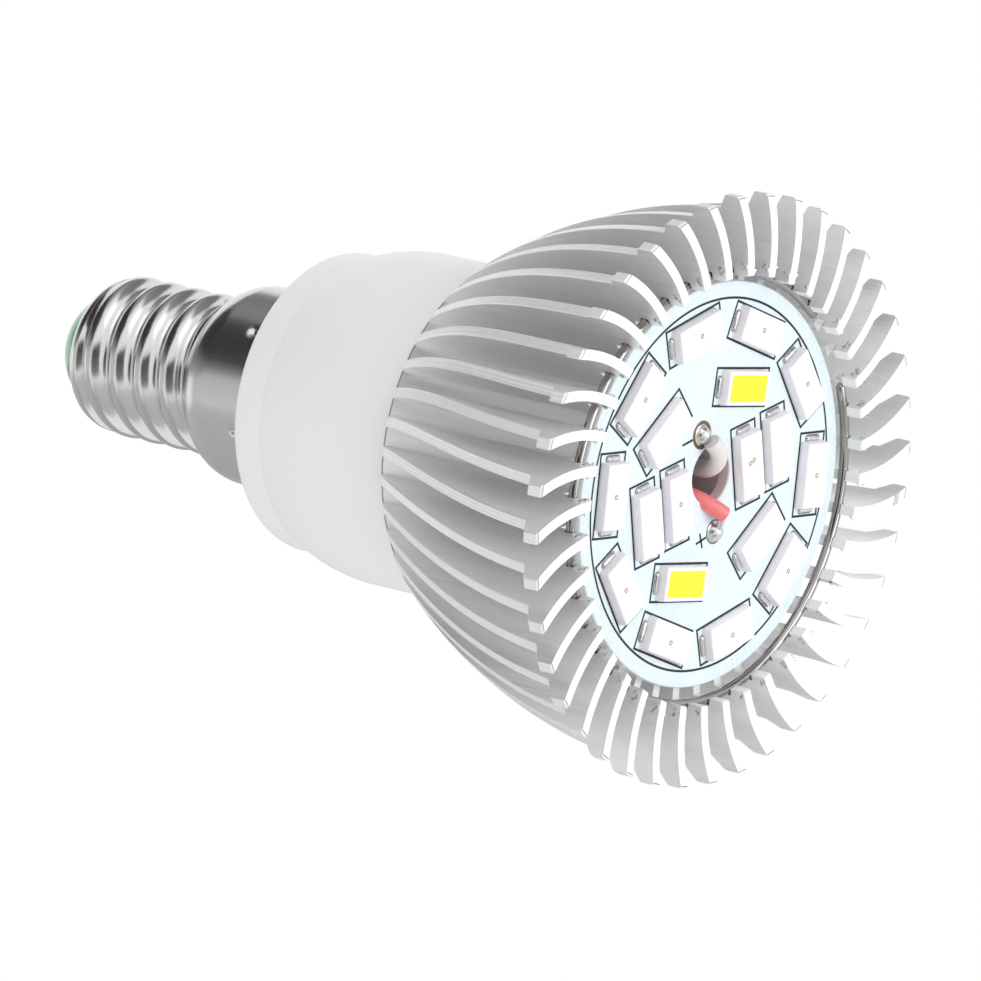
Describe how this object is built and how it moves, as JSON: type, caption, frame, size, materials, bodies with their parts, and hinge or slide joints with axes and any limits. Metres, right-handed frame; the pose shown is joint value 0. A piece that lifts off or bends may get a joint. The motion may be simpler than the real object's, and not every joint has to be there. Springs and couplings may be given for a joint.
{
  "type": "grow light bulb",
  "caption": "LED grow light bulb: round LED board in a bell-shaped finned heat sink, white neck and small Edison screw cap.",
  "frame": {"origin": "middle of the bottom: on the bulb's axis, in the plane of the front rim on which it stands", "axes": "+Z runs along the bulb's axis from the light end to the screw cap; +X points to the minus solder joint's side of the board"},
  "size_m": [0.05, 0.05, 0.0713],
  "materials": {
    "sink_aluminium": "drawn flanks with fine lengthwise lines, bright turned edges",
    "spring_steel": "dark drawn wire",
    "board_white": "white solder mask",
    "led_body": "white moulded package with a phosphor window",
    "tin": "tin-plated, bright",
    "lead_red": "insulated wire",
    "lead_white": "insulated wire",
    "neck_white": "moulded, satin",
    "nickel": "nickel plate, polished",
    "insulator_green": "moulded, glossy",
    "driver_green": "glass-fibre board",
    "sleeve_black": "shrink sleeve",
    "moulded_dark": "moulded component",
    "film_yellow": "dipped component"
  },
  "bodies": {
    "root": {"bridge_rectifier": "moulded_dark", "cap_insulator": "insulator_green", "centre_contact": "tin", "driver_board": "driver_green", "driver_chip": "moulded_dark", "film_capacitor": "film_yellow", "fuse_resistor": "film_yellow", "heat_sink": "sink_aluminium", "inductor": "moulded_dark", "input_capacitor": "sleeve_black", "led_01": "led_body", "led_02": "led_body", "led_03": "led_body", "led_04": "led_body", "led_05": "led_body", "led_06": "led_body", "led_07": "led_body", "led_08": "led_body", "led_09": "led_body", "led_10": "led_body", "led_11": "led_body", "led_12": "led_body", "led_13": "led_body", "led_14": "led_body", "led_15": "led_body", "led_16": "led_body", "led_17": "led_body", "led_18": "led_body", "led_board": "board_white", "led_terminals": "tin", "live_lead": "lead_red", "minus_solder": "tin", "neck_housing": "neck_white", "neutral_lead": "lead_white", "output_capacitor": "sleeve_black", "plus_solder": "tin", "red_lead": "lead_red", "screw_shell": "nickel", "snap_ring": "spring_steel", "white_lead": "lead_white"}
  },
  "joints": []
}
